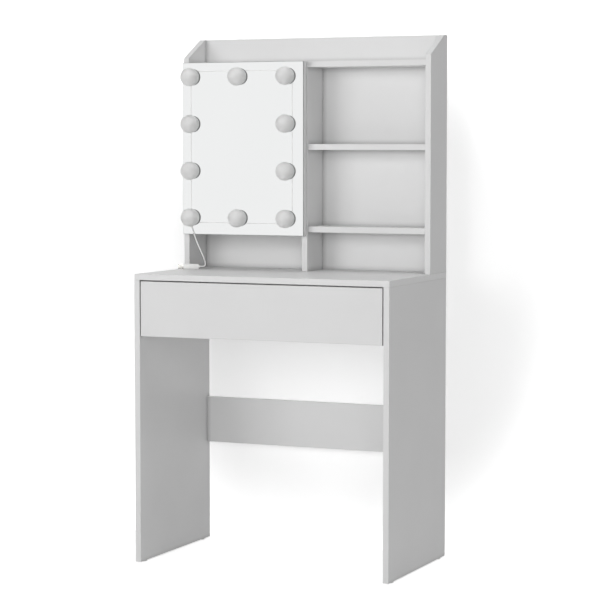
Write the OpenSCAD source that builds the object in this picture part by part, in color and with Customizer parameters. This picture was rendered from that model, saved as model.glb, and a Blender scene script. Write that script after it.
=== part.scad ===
// Vanity table with a hutch, a lit mirror door, open shelves and one drawer.
// Millimetres. Origin on the floor at the middle of the table, front towards -Y, +Z up.

/* [Desk] */
// Width over the side panels, the same for table and hutch
desk_w = 720; // [640:1:900]
// Depth of the table from front edge to back edge
desk_d = 412; // [404:1:520]
// Height of the table surface above the floor
desk_h = 767; // [700:1:820]
// Thickness of the main boards
board_t = 16; // [15:0.5:19]
// Height of the rail between the legs
rail_h = 127; // [90:1:160]
// Height of the rail's lower edge above the floor
rail_z = 275; // [150:1:330]
// Height of the rail behind the drawer
apron_h = 120; // [90:1:135]
// Diameter of the glides under the side panels
glide_d = 14; // [10:0.5:15]
// Thickness of the glides under the side panels
glide_t = 3; // [2:0.5:6]

/* [Drawer] */
// Height of the drawer front
front_h = 144.5; // [125:0.5:180]
// Gap round the drawer front
front_gap = 3; // [2:0.5:5]
// Height of the drawer box
box_h = 95; // [60:1:105]
// Thickness of the drawer box boards
box_t = 12; // [12:0.5:15]
// Thickness of the drawer bottom
bottom_t = 3; // [3:0.5:6]
// Depth of the groove that holds the drawer bottom
groove_d = 5; // [3:0.5:7]
// Gap between the drawer box and the rail behind it
box_back_gap = 30; // [5:1:90]
// Height of the drawer runners
runner_h = 45; // [38:1:48]
// Width of a runner between side panel and drawer box
runner_w = 12.7; // [12.5:0.1:14]
// Thickness of the runner steel
runner_sheet = 1.2; // [1:0.1:1.5]

/* [Hutch] */
// Height of the hutch above the table surface
hutch_h = 627; // [600:1:760]
// Depth of the hutch, back board included
hutch_d = 122; // [110:1:200]
// Height of the back board above the top shelf
header_h = 67; // [40:1:90]
// Distance from shelf to shelf
shelf_pitch = 220; // [190:1:235]
// Distance of the shelf edges behind the edges of the sides
shelf_setback = 6; // [2:0.5:12]
// Clear width of the open shelves
open_bay_w = 335; // [290:1:400]
// Depth of the slope on the upper front corners of the sides
slope_d = 100; // [40:1:102]
// Height of the slope on the upper front corners of the sides
slope_h = 54; // [20:1:60]

/* [Mirror door] */
// Distance of the door's free edge from the divider's outer face
door_inset_free = 1.2; // [1:0.1:8]
// Distance of the door's hinged edge from the outer face of the side
door_inset_hinge = 7.5; // [6:0.5:9]
// How far the door reaches below the cabinet floor
door_drop = 9.5; // [4:0.5:20]
// Gap between the door and the hutch
door_gap = 3; // [3:0.1:4]
// Thickness of the mirror glass
glass_t = 3; // [3:0.5:5]
// Thickness of the mirror tape
tape_t = 0.5; // [0.3:0.1:1]
// Width of one strip of mirror tape
tape_w = 20; // [10:1:40]
// Distance of the glass edge from the door edge
glass_inset = 0.5; // [0.5:0.5:5]

/* [Bulbs] */
// Diameter of a globe
globe_d = 49; // [44:1:60]
// Wall thickness of a globe
globe_wall = 1.5; // [1:0.1:2.5]
// How far a globe stands out beyond its base all round
globe_overhang = 2.5; // [1.5:0.1:8]
// Thickness of the foam pad under a base
pad_t = 1; // [0.5:0.1:2]
// Diameter of the light board in a bulb
light_board_d = 26; // [16:1:28]
// Distance from the hinged edge to the first column of bulbs
bulb_margin_hinge = 33.5; // [30:0.5:60]
// Distance from the free edge to the last column of bulbs
bulb_margin_free = 43.8; // [30:0.1:60]
// Distance from the upper edge to the top row of bulbs
bulb_margin_top = 39.4; // [30:0.1:60]
// Distance from the lower edge to the bottom row of bulbs
bulb_margin_bottom = 46.3; // [30:0.1:60]
// Number of rows of bulbs
bulb_rows = 4; // [3:1:5]
// Diameter of the wire from bulb to bulb
wire_d = 1.8; // [1.2:0.1:2.4]
// Distance of the upright wires outside the bulb centres, on the hinge side
wire_side_hinge = 6.5; // [5:0.5:13]
// Distance of the upright wires outside the bulb centres, on the free side
wire_side_free = 11.5; // [8:0.5:13]
// Distance of the lower level wires below the bulb centres
wire_end_low = 13.5; // [10:0.5:16]
// Distance of the upper level wires above the bulb centres
wire_end_high = 15.5; // [10:0.5:16]

/* [Hinges and catch] */
// Height of a hinge leaf
leaf_h = 50; // [40:1:80]
// Thickness of a hinge leaf
leaf_t = 1.2; // [1:0.1:1.3]
// Radius of the hinge knuckles
knuckle_r = 2.2; // [2:0.1:2.4]
// Radius of the hinge pins
pin_r = 1; // [0.8:0.1:1.1]
// Running clearance of a pin in its knuckles
pin_clear = 0.05; // [0.02:0.01:0.1]
// Width of the leaf on the door
door_leaf_w = 24; // [18:1:30]
// Distance of the hinges from the door's upper and lower edges
hinge_inset = 60; // [50:1:90]
// Width of the magnet catch
catch_w = 36; // [24:1:50]
// Height of the magnet catch
catch_h = 12; // [8:1:16]
// Depth of the magnet catch
catch_d = 14; // [12:1:20]
// Thickness of the catch plate on the door
catch_plate_t = 1.5; // [1:0.1:2]

/* [Fittings] */
// Diameter of a cam housing
cam_d = 15; // [12:0.5:15]
// Distance from a cam to the board that it pulls on
cam_reach = 24; // [20:1:34]
// Diameter of a cam bolt
bolt_d = 6; // [5:0.1:7]
// Diameter of a cam bolt's thread
thread_d = 5; // [4:0.1:5.5]
// Depth of a cam bolt's thread in its board
thread_len = 7; // [5:0.5:7.2]
// Diameter of the screws that hold the hutch
hutch_screw_d = 5; // [4:0.5:7]
// Length of the screws that hold the hutch
hutch_screw_len = 50; // [40:1:60]
// Diameter of the small countersunk screws
small_screw_d = 2.2; // [1.8:0.1:2.6]
// Length of the small countersunk screws
small_screw_len = 11; // [8:0.5:12]

/* [Cord] */
// Diameter of the feed wire
feed_d = 3.2; // [2.6:0.1:3.4]
// Length of the plug's moulded body
plug_len = 42; // [30:1:45]
// Height of the plug's moulded body as it lies on its edge
plug_h = 14; // [13:0.5:16]
// Thickness of the plug's moulded body
plug_t = 8; // [7:0.5:9]
// Length of the plug's metal shell
shell_len = 15; // [12:0.5:19]

/* [Hidden] */
$fn = 48;

// Colours
laminate = "#d9d9d7";
drawer_white = "#e4e4e2";
steel = "#a9acb0";
white_plastic = "#eeeeec";

// Small shared clearances
fit = 0.1;
running = 0.3;
eps = 0.5;

// Insets of fittings from the ends of what they hold
top_cam_inset = 60;
rail_cam_inset = 24;
shelf_cam_inset = 20;
drawer_cam_low_inset = 24;
drawer_cam_high_inset = 18;
hutch_screw_inset = 25;
runner_screw_inset = 30;
glide_inset = 35;

// Main planes
inner_w = desk_w - 2 * board_t;
front_y = -desk_d / 2;
back_y = desk_d / 2;
rear_board_y = back_y - board_t;
under_top = desk_h - board_t;
side_h = under_top - glide_t;

// Drawer: the front hangs between the side panels, the box behind it
drawer_front_w = inner_w - 2 * front_gap;
drawer_front_top = under_top - front_gap;
drawer_front_z = drawer_front_top - front_h;
box_w = inner_w - 2 * runner_w;
box_y = front_y + board_t;
box_len = rear_board_y - box_back_gap - box_y;
box_drop = 4;
box_z = drawer_front_z + (front_h - box_h) / 2 - box_drop;
groove_lift = 8;
groove_z = box_z + groove_lift;
groove_clear = 0.15;
runner_z = box_z + box_h / 2;
runner_setback = 2;
runner_y = box_y + runner_setback;
runner_len = box_len;

// Hutch
total_h = desk_h + hutch_h;
hutch_front_y = back_y - hutch_d;
shelf_y = hutch_front_y + shelf_setback;
shelf_d = rear_board_y - shelf_y;
top_shelf_z = total_h - header_h - board_t;
upper_shelf_z = top_shelf_z - shelf_pitch;
lower_shelf_z = upper_shelf_z - shelf_pitch;
divider_right = inner_w / 2 - open_bay_w;
divider_left = divider_right - board_t;
cabinet_w = divider_left + inner_w / 2;

// Door
door_left = -desk_w / 2 + door_inset_hinge;
door_right = divider_right - door_inset_free;
door_w = door_right - door_left;
door_z = lower_shelf_z - door_drop;
door_top = top_shelf_z + board_t;
door_h = door_top - door_z;
door_back_y = hutch_front_y - door_gap;
door_front_y = door_back_y - board_t;
glass_y = door_front_y - tape_t - glass_t;
tape_strips = 5;

// Hinge axis: just outside the door's hinged edge and just in front of the hutch
pivot_x = door_left - running - knuckle_r;
pivot_y = hutch_front_y - running - knuckle_r;
frame_leaf_w = door_inset_hinge + knuckle_r + running;
knuckle_h = (leaf_h - 2 * running) / 3;
hinge_zs = [door_z + hinge_inset, door_top - hinge_inset - leaf_h];
pin_head_r = 1.8;
pin_head_t = 0.8;
leaf_screw_z = leaf_h / 6;
door_leaf_screw_inset = 8;
door_leaf_screw_x = pivot_x + door_leaf_w - door_leaf_screw_inset;
frame_leaf_screw_inset = 5.5;
frame_leaf_screw_x = -desk_w / 2 + board_t - frame_leaf_screw_inset;

// Bulbs: three columns in the first and last rows, two columns between
globe_r = globe_d / 2;
base_r = globe_r - globe_overhang;
base_h = globe_r - sqrt(globe_r * globe_r - base_r * base_r);
light_board_t = 1.6;
pad_inset = 5;
pad_r = base_r - pad_inset;
wire_grip = 1;
wire_stop_r = base_r - wire_grip;
column_left = door_left + bulb_margin_hinge;
column_right = door_right - bulb_margin_free;
bulb_columns = [column_left, (column_left + column_right) / 2, column_right];
row_low = door_z + bulb_margin_bottom;
row_high = door_top - bulb_margin_top;
row_step = (row_high - row_low) / (bulb_rows - 1);
function row_z(i) = row_low + i * row_step;
function is_full_row(i) = i == 0 || i == bulb_rows - 1;
bulbs = [
    for (i = [0 : bulb_rows - 1])
        for (c = is_full_row(i) ? [0, 1, 2] : [0, 2])
            [bulb_columns[c], row_z(i)]
];
// How far from a bulb's centre a wire stops that passes it at a distance
function wire_stop(offset) = sqrt(wire_stop_r * wire_stop_r - offset * offset);

// Cam fittings
cam_h = 12.5;
drawer_cam_h = 10;
cam_slot_w = 1.2;
cam_slot_t = 1.5;
bolt_start = 1;
shelf_cam_rows = [shelf_y + shelf_cam_inset, rear_board_y - shelf_cam_inset];
shelf_spans = [
    [-inner_w / 2, inner_w / 2, top_shelf_z],
    [divider_right, inner_w / 2, upper_shelf_z],
    [divider_right, inner_w / 2, lower_shelf_z],
    [-inner_w / 2, divider_left, upper_shelf_z],
    [-inner_w / 2, divider_left, lower_shelf_z]
];
top_cam_rows = [front_y + top_cam_inset, back_y - top_cam_inset];
rails = [[rail_z, rail_h], [under_top - apron_h, apron_h]];
drawer_cam_rows = [box_z + drawer_cam_low_inset, box_z + box_h - drawer_cam_high_inset];

// Hutch screws stand in the middle of each upright board
hutch_screw_head_d = 9;
hutch_screw_head_h = 3;
hutch_screw_spots = [
    for (x = [-(desk_w - board_t) / 2, (desk_w - board_t) / 2, (divider_left + divider_right) / 2])
        for (y = [hutch_front_y + hutch_screw_inset, rear_board_y - hutch_screw_inset])
            [x, y],
    for (x = [-inner_w / 3, inner_w / 3])
        [x, rear_board_y + board_t / 2]
];

// Runner screws
runner_screw_ys = [
    runner_y + runner_screw_inset,
    runner_y + runner_len / 2,
    runner_y + runner_len - runner_screw_inset
];

// Cord: hand-chosen points of the wire's centre line
feed_sides = 8;
feed_on_door = [
    [-327, 59.6, 891],
    [-326.5, 59.6, 886],
    [-323.5, 59.6, 878],
    [-319.5, 59.6, 868],
    [-315.5, 59.6, 858]
];
feed_to_plug = [
    [-315.5, 59.6, 858],
    [-311.5, 59.6, 848],
    [-305.5, 60.5, 833],
    [-299.5, 62.5, 819],
    [-294.5, 65, 806],
    [-291, 68, 795],
    [-289.5, 70, 788],
    [-288.8, 71.5, 782],
    [-290.3, 71.8, 777],
    [-294, 70.2, 774.5],
    [-298, 68.5, 774],
    [-301.5, 67, 774]
];
plug_end = feed_to_plug[len(feed_to_plug) - 1];
before_plug = feed_to_plug[len(feed_to_plug) - 2];
plug_turn = atan2(before_plug[1] - plug_end[1], before_plug[0] - plug_end[0]);
relief_len = 5;
shell_h = 12;
shell_t = 4.5;
shell_wall = 0.4;
tongue_t = 1.8;
tongue_len = 12;

// ---- Shared shapes ----

// Box from its low corner and its size
module block(low, size) {
    translate(low) cube(size);
}

// Cam housing with its axis up and its bolt coming in along +X at the height bolt_z
module cam_body(h, bolt_z) {
    difference() {
        cylinder(d = cam_d - 2 * fit, h = h);
        translate([0, 0, bolt_z]) rotate([0, 90, 0]) cylinder(d = bolt_d + 2 * fit, h = cam_d);
        block([-cam_d / 4, -cam_slot_w / 2, -eps], [cam_d / 2, cam_slot_w, cam_slot_t + eps]);
    }
}

// Bolt from the cam's middle out through the joint into the next board
module cam_bolt(bolt_z) {
    translate([0, 0, bolt_z]) rotate([0, 90, 0]) {
        translate([0, 0, bolt_start]) cylinder(d = bolt_d, h = cam_reach - bolt_start);
        cylinder(d = thread_d, h = cam_reach + thread_len);
    }
}

// Bores for one cam and its bolt in the board that carries the cam
module cam_seat(h, bolt_z) {
    translate([0, 0, -eps]) cylinder(d = cam_d, h = h + eps);
    translate([0, 0, bolt_z]) rotate([0, 90, 0]) cylinder(d = bolt_d + 2 * fit, h = cam_reach + eps);
}

// Bore for the bolt's thread in the board that it pulls on
module thread_seat(bolt_z) {
    translate([cam_reach - eps, 0, bolt_z]) rotate([0, 90, 0])
        cylinder(d = thread_d + 2 * fit, h = thread_len + fit + eps);
}

// Flush countersunk screw along +Z with its head's face at z = 0
module small_screw() {
    cylinder(d1 = 2 * small_screw_d, d2 = small_screw_d, h = small_screw_d / 2);
    cylinder(d = small_screw_d, h = small_screw_len);
}

// Hole for that screw, wider by the fit
module small_screw_hole() {
    translate([0, 0, -eps]) cylinder(d = 2 * small_screw_d + 2 * fit, h = eps);
    cylinder(d1 = 2 * small_screw_d + 2 * fit, d2 = small_screw_d + 2 * fit, h = small_screw_d / 2);
    cylinder(d = small_screw_d + 2 * fit, h = small_screw_len + fit);
}

// Copies on both ends, mirrored in X
module both_sides() {
    children();
    mirror([1, 0, 0]) children();
}

// Places of the cams: local +Z goes into the board, local +X towards the joint
module at_rail_cams(z0, h) {
    for (z = [z0 + rail_cam_inset, z0 + h - rail_cam_inset])
        translate([inner_w / 2 - cam_reach, back_y, z]) rotate([90, 0, 0]) children();
}

module at_top_cams() {
    for (y = top_cam_rows)
        translate([inner_w / 2, y, under_top - cam_reach]) rotate([0, -90, 180]) children();
}

module at_shelf_cams(span) {
    for (y = shelf_cam_rows) {
        translate([span[1] - cam_reach, y, span[2]]) children();
        translate([span[0] + cam_reach, y, span[2]]) rotate([0, 0, 180]) children();
    }
}

module at_drawer_cams() {
    for (z = drawer_cam_rows)
        translate([box_w / 2 - box_t, box_y + cam_reach, z]) rotate([0, 90, 0]) rotate([0, 0, -90])
            children();
}

// Places of the hutch screws, on the underside of the table top
module at_hutch_screws() {
    for (p = hutch_screw_spots) translate([p[0], p[1], under_top]) children();
}

module hutch_screw_holes() {
    at_hutch_screws() {
        translate([0, 0, -eps])
            cylinder(d = hutch_screw_head_d + 2 * fit, h = hutch_screw_head_h + fit + eps);
        cylinder(d = hutch_screw_d + 2 * fit, h = hutch_screw_len + fit);
    }
}

// ---- Table ----

module table_top() {
    color(laminate) difference() {
        block([-desk_w / 2, front_y, under_top], [desk_w, desk_d, board_t]);
        both_sides() at_top_cams() thread_seat(board_t / 2);
        hutch_screw_holes();
    }
}

// The right-hand panel; the left one is its mirror image
module side_panel() {
    color(laminate) difference() {
        block([inner_w / 2, front_y, glide_t], [board_t, desk_d, side_h]);
        for (r = rails) at_rail_cams(r[0], r[1]) thread_seat(board_t / 2);
        at_top_cams() cam_seat(cam_h, board_t / 2);
        at_glides() cylinder(d = small_screw_d + 2 * fit, h = small_screw_len + fit);
        at_cabinet_runner_screws() small_screw_hole();
    }
}

module left_side_panel() {
    mirror([1, 0, 0]) side_panel();
}

module right_side_panel() {
    side_panel();
}

module rail(z0, h) {
    color(laminate) difference() {
        block([-inner_w / 2, rear_board_y, z0], [inner_w, board_t, h]);
        both_sides() at_rail_cams(z0, h) cam_seat(cam_h, board_t / 2);
    }
}

module lower_rear_rail() {
    rail(rail_z, rail_h);
}

module upper_rear_rail() {
    rail(under_top - apron_h, apron_h);
}

module at_glides() {
    for (y = [front_y + glide_inset, back_y - glide_inset])
        translate([(desk_w - board_t) / 2, y, glide_t]) children();
}

module floor_glides() {
    color(white_plastic) both_sides() at_glides() {
        translate([0, 0, -glide_t]) cylinder(d = glide_d, h = glide_t);
        cylinder(d = small_screw_d, h = small_screw_len);
    }
}

module rail_cams() {
    color(steel) both_sides() for (r = rails) at_rail_cams(r[0], r[1]) cam_body(cam_h, board_t / 2);
}

module rail_cam_bolts() {
    color(steel) both_sides() for (r = rails) at_rail_cams(r[0], r[1]) cam_bolt(board_t / 2);
}

module top_cams() {
    color(steel) both_sides() at_top_cams() cam_body(cam_h, board_t / 2);
}

module top_cam_bolts() {
    color(steel) both_sides() at_top_cams() cam_bolt(board_t / 2);
}

// ---- Drawer ----

module drawer_front() {
    color(laminate) difference() {
        block([-drawer_front_w / 2, front_y, drawer_front_z], [drawer_front_w, board_t, front_h]);
        both_sides() at_drawer_cams() thread_seat(box_t / 2);
        drawer_bottom_groove();
    }
}

// The space that the drawer bottom slides into
module drawer_bottom_groove() {
    block(
        [-box_w / 2 + box_t - groove_d, box_y - groove_d, groove_z - groove_clear],
        [box_w - 2 * box_t + 2 * groove_d, box_len + groove_d + eps, bottom_t + 2 * groove_clear]
    );
}

module drawer_side() {
    color(drawer_white) difference() {
        block([box_w / 2 - box_t, box_y, box_z], [box_t, box_len, box_h]);
        at_drawer_cams() cam_seat(drawer_cam_h, box_t / 2);
        drawer_bottom_groove();
        at_drawer_runner_screws() small_screw_hole();
    }
}

module drawer_left_side() {
    mirror([1, 0, 0]) drawer_side();
}

module drawer_right_side() {
    drawer_side();
}

// The back stands on the bottom, which runs out under it
module drawer_back() {
    back_z = groove_z + bottom_t + groove_clear;
    color(drawer_white)
        block([-box_w / 2 + box_t, box_y + box_len - box_t, back_z],
            [box_w - 2 * box_t, box_t, box_z + box_h - back_z]);
}

module drawer_bottom() {
    slack = groove_clear * 2;
    color(drawer_white)
        block([-box_w / 2 + box_t - groove_d + slack, box_y - groove_d + slack, groove_z],
            [box_w - 2 * box_t + 2 * (groove_d - slack), box_len + groove_d - slack, bottom_t]);
}

module drawer_cams() {
    color(steel) both_sides() at_drawer_cams() cam_body(drawer_cam_h, box_t / 2);
}

module drawer_cam_bolts() {
    color(steel) both_sides() at_drawer_cams() cam_bolt(box_t / 2);
}

// Channel along Y: depths from the side panel, half height, web on one side and two flanges
module channel(web_u, far_u, half_h, lip) {
    low = min(web_u, far_u);
    width = abs(far_u - web_u);
    web_low = web_u < far_u ? web_u : web_u - runner_sheet;
    translate([0, runner_y, runner_z]) {
        block([web_low, 0, -half_h], [runner_sheet, runner_len, 2 * half_h]);
        for (s = [-1, 1]) {
            edge = s > 0 ? half_h - runner_sheet : -half_h;
            block([low, 0, edge], [width, runner_len, runner_sheet]);
            lip_edge = s > 0 ? half_h - lip : -half_h;
            block([far_u - runner_sheet, 0, lip_edge], [runner_sheet, runner_len, max(lip, runner_sheet)]);
        }
    }
}

// Local X runs from the right side panel towards the drawer
module at_right_panel() {
    translate([inner_w / 2, 0, 0]) mirror([1, 0, 0]) children();
}

middle_half = runner_h / 2 - runner_sheet - running;
inner_half = middle_half - runner_sheet - running;
middle_u = runner_sheet + running;
inner_u = middle_u + runner_sheet + running;
lip_gap = 1.6;
lip_u = runner_w - runner_sheet - lip_gap;
lip_h = 2 * runner_sheet + running;

module cabinet_runner() {
    color(steel) difference() {
        at_right_panel() channel(0, lip_u, runner_h / 2, lip_h);
        at_cabinet_runner_screws() small_screw_hole();
    }
}

module middle_runner() {
    far_u = lip_u - runner_sheet - running;
    color(steel) at_right_panel() channel(middle_u, far_u, middle_half, runner_sheet);
}

module drawer_runner() {
    color(steel) difference() {
        at_right_panel() translate([runner_w, 0, 0]) mirror([1, 0, 0])
            channel(0, runner_w - inner_u, inner_half, runner_sheet);
        at_drawer_runner_screws() small_screw_hole();
    }
}

module left_cabinet_runner() {
    mirror([1, 0, 0]) cabinet_runner();
}

module right_cabinet_runner() {
    cabinet_runner();
}

module left_middle_runner() {
    mirror([1, 0, 0]) middle_runner();
}

module right_middle_runner() {
    middle_runner();
}

module left_drawer_runner() {
    mirror([1, 0, 0]) drawer_runner();
}

module right_drawer_runner() {
    drawer_runner();
}

module at_cabinet_runner_screws() {
    for (y = runner_screw_ys)
        translate([inner_w / 2 - runner_sheet, y, runner_z]) rotate([0, 90, 0]) children();
}

module at_drawer_runner_screws() {
    for (y = runner_screw_ys)
        translate([box_w / 2 + runner_sheet, y, runner_z]) rotate([0, -90, 0]) children();
}

module cabinet_runner_screws() {
    color(steel) both_sides() at_cabinet_runner_screws() small_screw();
}

module drawer_runner_screws() {
    color(steel) both_sides() at_drawer_runner_screws() small_screw();
}

// ---- Hutch ----

// Side outline seen from the side: depth along X, height along Y of the drawing
module hutch_side_outline() {
    polygon([
        [hutch_front_y, desk_h],
        [back_y, desk_h],
        [back_y, total_h],
        [hutch_front_y + slope_d, total_h],
        [hutch_front_y, total_h - slope_h]
    ]);
}

module hutch_side_board() {
    translate([inner_w / 2, 0, 0]) rotate([90, 0, 90]) linear_extrude(board_t) hutch_side_outline();
}

module hutch_left_side() {
    color(laminate) difference() {
        mirror([1, 0, 0]) hutch_side_board();
        shelf_thread_seats();
        hutch_screw_holes();
        at_frame_leaf_screws() small_screw_hole();
    }
}

module hutch_right_side() {
    color(laminate) difference() {
        hutch_side_board();
        shelf_thread_seats();
        hutch_screw_holes();
    }
}

module hutch_back_board() {
    color(laminate) difference() {
        block([-inner_w / 2, rear_board_y, desk_h], [inner_w, board_t, hutch_h]);
        hutch_screw_holes();
    }
}

module hutch_divider() {
    color(laminate) difference() {
        block([divider_left, hutch_front_y, desk_h],
            [board_t, rear_board_y - hutch_front_y, top_shelf_z - desk_h]);
        shelf_thread_seats();
        hutch_screw_holes();
    }
}

module shelf_thread_seats() {
    for (span = shelf_spans) at_shelf_cams(span) thread_seat(board_t / 2);
}

module shelf(span) {
    color(laminate) difference() {
        block([span[0], shelf_y, span[2]], [span[1] - span[0], shelf_d, board_t]);
        at_shelf_cams(span) cam_seat(cam_h, board_t / 2);
    }
}

module hutch_top_shelf() {
    shelf(shelf_spans[0]);
}

module upper_shelf() {
    shelf(shelf_spans[1]);
}

module lower_shelf() {
    shelf(shelf_spans[2]);
}

module cabinet_shelf() {
    shelf(shelf_spans[3]);
}

module cabinet_floor() {
    shelf(shelf_spans[4]);
}

module hutch_screws() {
    color(steel) at_hutch_screws() {
        cylinder(d = hutch_screw_head_d, h = hutch_screw_head_h);
        cylinder(d = hutch_screw_d, h = hutch_screw_len);
    }
}

module shelf_cams() {
    color(steel) for (span = shelf_spans) at_shelf_cams(span) cam_body(cam_h, board_t / 2);
}

module shelf_cam_bolts() {
    color(steel) for (span = shelf_spans) at_shelf_cams(span) cam_bolt(board_t / 2);
}

// ---- Mirror door ----

module door_panel() {
    color(laminate) difference() {
        block([door_left, door_front_y, door_z], [door_w, board_t, door_h]);
        at_door_leaf_screws() small_screw_hole();
    }
}

module mirror_tape() {
    strip_step = door_w / tape_strips;
    color("#c9c9c9") for (i = [0 : tape_strips - 1])
        block([door_left + (i + 0.5) * strip_step - tape_w / 2, door_front_y - tape_t, door_z + tape_w],
            [tape_w, tape_t, door_h - 2 * tape_w]);
}

module mirror_glass() {
    color("#eef1f2")
        block([door_left + glass_inset, glass_y, door_z + glass_inset],
            [door_w - 2 * glass_inset, glass_t, door_h - 2 * glass_inset]);
}

// Each bulb stands out of the mirror: local +Z points away from the glass
module at_bulbs() {
    for (p = bulbs) translate([p[0], glass_y, p[1]]) rotate([90, 0, 0]) children();
}

module bulb_pads() {
    color("#d0d0d0") at_bulbs() cylinder(r = pad_r, h = pad_t);
}

module bulb_bases() {
    color("#b9bbbd") difference() {
        at_bulbs() translate([0, 0, pad_t]) cylinder(r = base_r, h = base_h - pad_t);
        wire_runs(wire_d + 2 * running, running);
        feed_slot();
    }
}

module bulb_light_boards() {
    color("#f2f2ea") at_bulbs() translate([0, 0, base_h]) cylinder(d = light_board_d, h = light_board_t);
}

module bulb_globes() {
    color("#f4f4f2") at_bulbs() difference() {
        translate([0, 0, globe_r]) sphere(r = globe_r, $fn = 64);
        translate([0, 0, globe_r]) sphere(r = globe_r - globe_wall, $fn = 64);
        translate([-globe_r, -globe_r, -eps]) cube([globe_d, globe_d, base_h + eps]);
    }
}

// One straight wire on the glass between two points given as [x, z]
module wire(a, b, d, extra) {
    upright = a[0] == b[0];
    length = norm(b - a) + 2 * extra;
    y = glass_y - wire_d / 2 - fit;
    if (upright)
        translate([a[0], y, a[1] - extra]) cylinder(d = d, h = length);
    else
        translate([a[0] - extra, y, a[1]]) rotate([0, 90, 0]) cylinder(d = d, h = length);
}

module wire_runs(d, extra) {
    for (column = [[column_left, -wire_side_hinge], [column_right, wire_side_free]]) {
        x = column[0] + column[1];
        stop = wire_stop(column[1]);
        for (i = [0 : bulb_rows - 2])
            wire([x, row_z(i) + stop], [x, row_z(i + 1) - stop], d, extra);
    }
    for (row = [[row_low, -wire_end_low], [row_high, wire_end_high]]) {
        z = row[0] + row[1];
        stop = wire_stop(row[1]);
        for (c = [0, 1])
            wire([bulb_columns[c] + stop, z], [bulb_columns[c + 1] - stop, z], d, extra);
    }
}

module bulb_wiring() {
    color("#dcdcdc") wire_runs(wire_d, 0);
}

// Notch in the lowest bulb base on the hinge side, where the feed wire comes out
module feed_slot() {
    start = feed_on_door[0];
    slot_w = 6;
    slot_h = 10;
    block([start[0] - slot_w / 2, glass_y - feed_d - 2 * running, start[2] - slot_h],
        [slot_w, feed_d + 2 * running, slot_h + feed_d / 2]);
}

// ---- Hinges and catch ----

// Butt hinge: the frame leaf has the outer knuckles, the door leaf the middle one
module knuckle(z0, h) {
    translate([pivot_x, pivot_y, z0]) cylinder(r = knuckle_r, h = h);
}

module pin_bore(z0) {
    translate([pivot_x, pivot_y, z0 - eps]) cylinder(r = pin_r + pin_clear, h = leaf_h + 2 * eps);
}

// Room for the other leaf's knuckle
module knuckle_room(z0, h) {
    reach = knuckle_r + running;
    block([pivot_x - reach, pivot_y - reach, z0 - running], [2 * reach, 2 * reach, h + 2 * running]);
}

module frame_leaf(z0) {
    upper_knuckle_z = z0 + 2 * (knuckle_h + running);
    color(steel) difference() {
        union() {
            difference() {
                block([pivot_x, hutch_front_y - leaf_t, z0], [frame_leaf_w, leaf_t, leaf_h]);
                knuckle_room(z0 + knuckle_h + running, knuckle_h);
            }
            knuckle(z0, knuckle_h);
            knuckle(upper_knuckle_z, knuckle_h);
        }
        pin_bore(z0);
        at_frame_leaf_screws() small_screw_hole();
    }
}

module door_leaf(z0) {
    color(steel) difference() {
        union() {
            difference() {
                block([pivot_x, door_back_y, z0], [door_leaf_w, leaf_t, leaf_h]);
                knuckle_room(z0, knuckle_h);
                knuckle_room(z0 + 2 * (knuckle_h + running), knuckle_h);
            }
            knuckle(z0 + knuckle_h + running, knuckle_h);
        }
        pin_bore(z0);
        at_door_leaf_screws() small_screw_hole();
    }
}

module hinge_pin(z0) {
    color(steel) translate([pivot_x, pivot_y, 0]) {
        translate([0, 0, z0]) cylinder(r = pin_r, h = leaf_h);
        for (z = [z0 - pin_head_t, z0 + leaf_h])
            translate([0, 0, z]) cylinder(r = pin_head_r, h = pin_head_t);
    }
}

module upper_hinge_frame_leaf() {
    frame_leaf(hinge_zs[1]);
}

module lower_hinge_frame_leaf() {
    frame_leaf(hinge_zs[0]);
}

module upper_hinge_door_leaf() {
    door_leaf(hinge_zs[1]);
}

module lower_hinge_door_leaf() {
    door_leaf(hinge_zs[0]);
}

module upper_hinge_pin() {
    hinge_pin(hinge_zs[1]);
}

module lower_hinge_pin() {
    hinge_pin(hinge_zs[0]);
}

module at_frame_leaf_screws() {
    for (z0 = hinge_zs)
        for (z = [z0 + leaf_screw_z, z0 + leaf_h - leaf_screw_z])
            translate([frame_leaf_screw_x, hutch_front_y - leaf_t, z]) rotate([-90, 0, 0]) children();
}

module at_door_leaf_screws() {
    for (z0 = hinge_zs)
        for (z = [z0 + leaf_screw_z, z0 + leaf_h - leaf_screw_z])
            translate([door_leaf_screw_x, door_back_y + leaf_t, z]) rotate([90, 0, 0]) children();
}

module hinge_frame_screws() {
    color(steel) at_frame_leaf_screws() small_screw();
}

module hinge_door_screws() {
    color(steel) at_door_leaf_screws() small_screw();
}

// The catch hangs under the top shelf at the door's free side
catch_inset = 12;
catch_seat = 8;
catch_rim = 3;
magnet_depth = 1;
plate_rim = 1;
catch_x = divider_left - catch_inset - catch_w;
catch_y = door_back_y + catch_plate_t + running;
catch_z = top_shelf_z - catch_h;

module magnet_catch() {
    catch_len = max(catch_d, shelf_y + catch_seat - catch_y);
    color(white_plastic) difference() {
        block([catch_x, catch_y, catch_z], [catch_w, catch_len, catch_h]);
        block([catch_x + catch_rim, catch_y - eps, catch_z + catch_rim],
            [catch_w - 2 * catch_rim, magnet_depth + eps, catch_h - 2 * catch_rim]);
    }
}

module catch_plate() {
    color(steel) block([catch_x + plate_rim, door_back_y, catch_z + plate_rim],
        [catch_w - 2 * plate_rim, catch_plate_t, catch_h - 2 * plate_rim]);
}

// ---- Feed wire and plug ----

function unit(v) = v / norm(v);
function tangent(path, i) =
    let (last = len(path) - 1)
    unit(path[min(i + 1, last)] - path[max(i - 1, 0)]);
function ring(path, i, r, sides) =
    let (t = tangent(path, i), a = unit(cross(t, [0, 1, 0])), b = cross(t, a))
    [for (k = [0 : sides - 1]) path[i] + r * (cos(360 * k / sides) * a + sin(360 * k / sides) * b)];

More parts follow.
